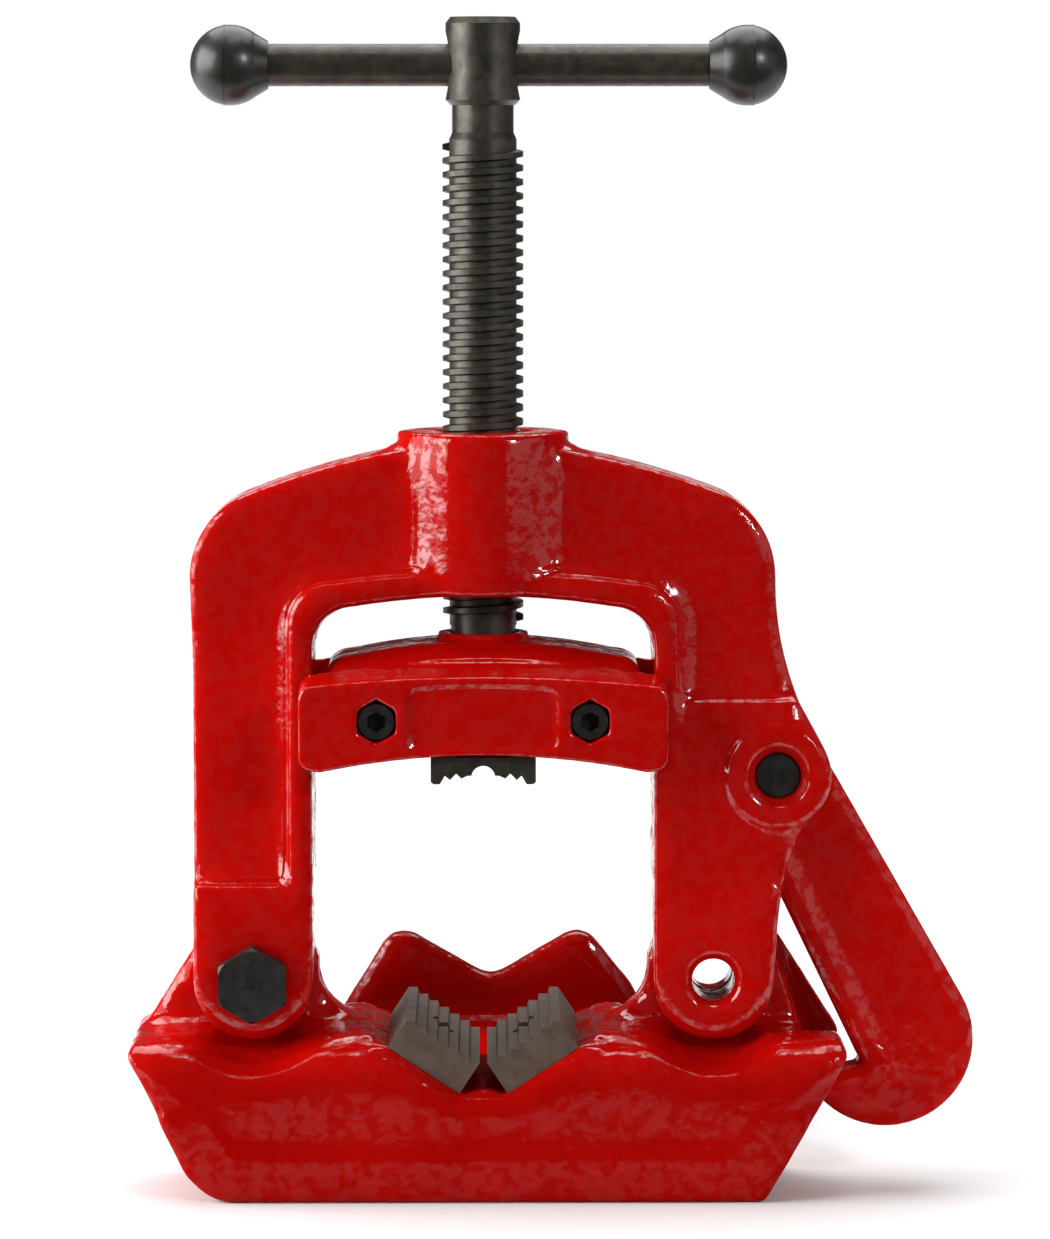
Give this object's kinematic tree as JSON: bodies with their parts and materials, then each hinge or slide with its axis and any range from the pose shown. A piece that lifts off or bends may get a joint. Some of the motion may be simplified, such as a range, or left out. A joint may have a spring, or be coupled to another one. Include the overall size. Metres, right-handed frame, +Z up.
{
  "type": "pipe vice",
  "caption": "Bench pipe vice with a hinged yoke, a swinging latch hook, V-set serrated lower jaws and a screw-driven crosshead turned by a sliding bar.",
  "frame": {"origin": "where the clamp screw's axis meets the bench, on the rib in the middle of the base's underside", "axes": "+X to the right as seen from the front, -Y out of the front, +Z up along the clamp screw"},
  "size_m": [0.2416, 0.181, 0.3331],
  "materials": {
    "red_enamel": "glossy enamel over a sand casting",
    "jaw_steel": "phosphated, matt grey-brown",
    "black_steel": "black oxide, satin",
    "bright_steel": "ground",
    "black_plastic": "moulded, semi-gloss"
  },
  "bodies": {
    "base": {"base_casting": "red_enamel", "lower_jaw_left": "jaw_steel", "lower_jaw_right": "jaw_steel", "lower_jaw_screw_left": "black_steel", "lower_jaw_screw_right": "black_steel", "hinge_bolt": "black_steel", "hinge_washer": "black_steel", "hinge_nut": "black_steel"},
    "yoke": {"yoke_casting": "red_enamel", "hook_pin": "black_steel", "hook_pin_washer": "black_steel", "hook_pin_nut": "black_steel"},
    "hook": {"hook_casting": "red_enamel"},
    "crosshead": {"crosshead_front": "red_enamel", "crosshead_rear": "red_enamel", "crosshead_screws": "black_steel", "crosshead_nuts": "black_steel", "upper_jaw": "black_steel", "upper_jaw_pin": "bright_steel", "thrust_washer": "bright_steel"},
    "clamp_screw": {"clamp_screw": "black_steel"},
    "tommy_bar": {"tommy_bar": "black_steel", "ball_knob_left": "black_plastic", "ball_knob_right": "black_plastic"}
  },
  "joints": [
    {"name": "yoke_swing", "type": "hinge", "parent": "base", "child": "yoke", "pos_m": [-0.0654, -0.01, 0.0604], "axis": [0, -1, 0], "range_deg": [0, 75]},
    {"name": "hook_swing", "type": "hinge", "parent": "yoke", "child": "hook", "pos_m": [0.0835, -0.001, 0.1189], "axis": [0, -1, 0], "range_deg": [-7, 58]},
    {"name": "crosshead_slide", "type": "slide", "parent": "yoke", "child": "crosshead", "axis": [0, 0, -1], "range_m": [-0.01, 0.066]},
    {"name": "screw_turn", "type": "hinge", "parent": "crosshead", "child": "clamp_screw", "pos_m": [0, 0, 0.3195], "axis": [0, 0, -1], "range_deg": [-900, 5940]},
    {"name": "tommy_bar_slide", "type": "slide", "parent": "clamp_screw", "child": "tommy_bar", "axis": [1, 0, 0], "range_m": [-0.0517, 0.0483]}
  ],
  "couplings": [
    {"joint": "crosshead_slide", "follows": "screw_turn", "m_per_rad": 0.00063662}
  ]
}
